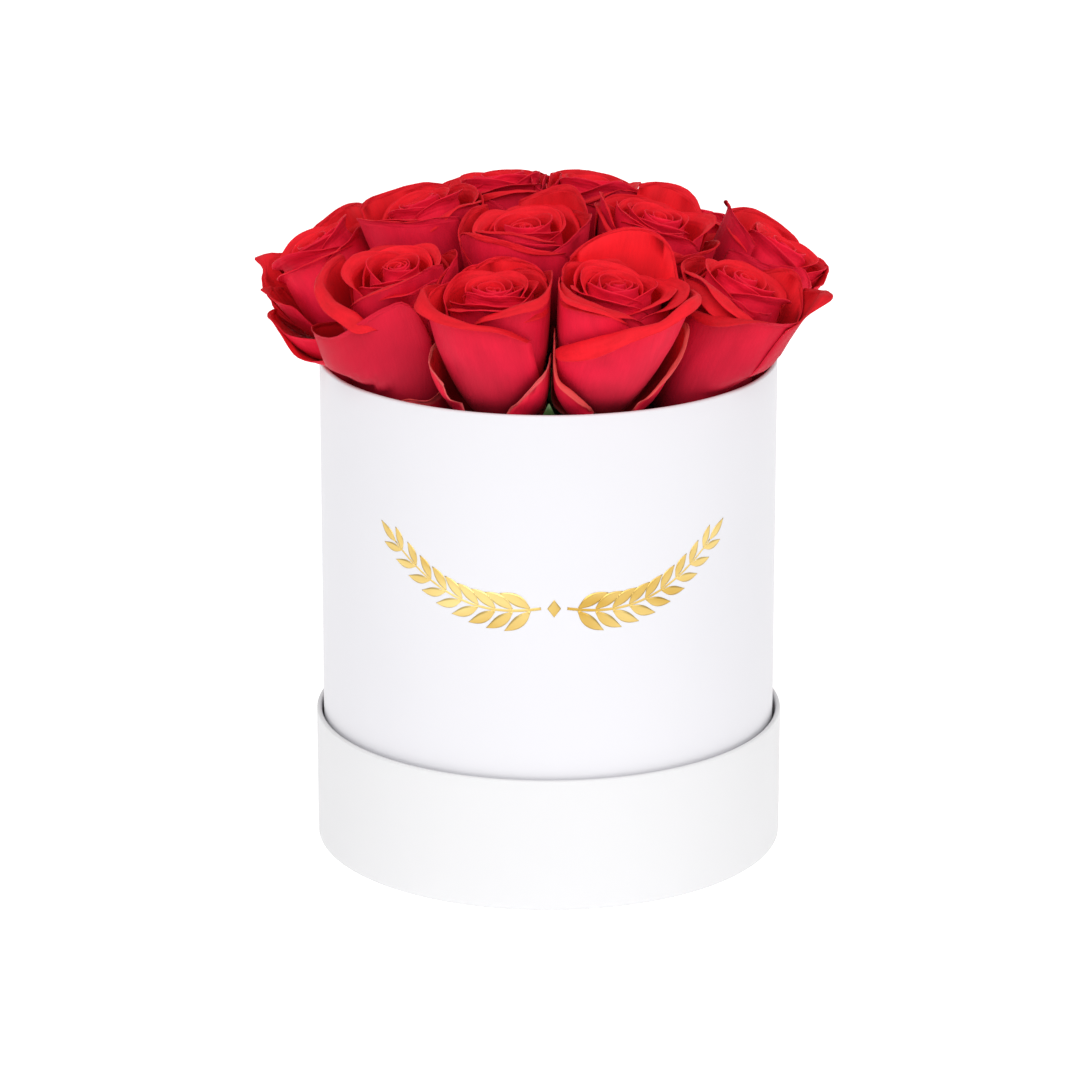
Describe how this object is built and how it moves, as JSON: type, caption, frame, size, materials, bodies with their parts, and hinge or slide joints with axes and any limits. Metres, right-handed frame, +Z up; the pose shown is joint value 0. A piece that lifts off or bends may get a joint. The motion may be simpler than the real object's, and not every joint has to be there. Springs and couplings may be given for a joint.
{
  "type": "flower hat box",
  "caption": "Round paper-covered hat box standing in its own upturned lid, filled with a low dome of red roses whose stems stand in a block of wet foam.",
  "frame": {"origin": "middle of the upturned lid's flat underside", "axes": "+Z up the box towards the roses, -Y towards the front"},
  "size_m": [0.2259, 0.2191, 0.2706],
  "materials": {
    "white_board": "white satin paper wrapped over board",
    "inner_board": "plain uncoated board",
    "liner_film": "thin translucent plastic cup",
    "foam": "fine dull green floral foam",
    "petals": "soft velvety petals with a slight sheen",
    "stems": "waxy green stems, hips and sepals"
  },
  "bodies": {
    "root": {"lid_band": "white_board", "lid_disc": "white_board", "box_tube": "white_board", "box_floor": "inner_board", "liner_cup": "liner_film", "foam": "foam", "rose_a": "petals", "rose_b": "petals", "rose_c": "petals", "rose_d": "petals", "rose_e": "petals", "rose_f": "petals", "rose_g": "petals", "rose_h": "petals", "rose_i": "petals", "rose_j": "petals", "rose_k": "petals", "rose_l": "petals", "rose_m": "petals", "rose_n": "petals", "stem_a": "stems", "stem_b": "stems", "stem_c": "stems", "stem_d": "stems", "stem_e": "stems", "stem_f": "stems", "stem_g": "stems", "stem_h": "stems", "stem_i": "stems", "stem_j": "stems", "stem_k": "stems", "stem_l": "stems", "stem_m": "stems", "stem_n": "stems"}
  },
  "joints": []
}
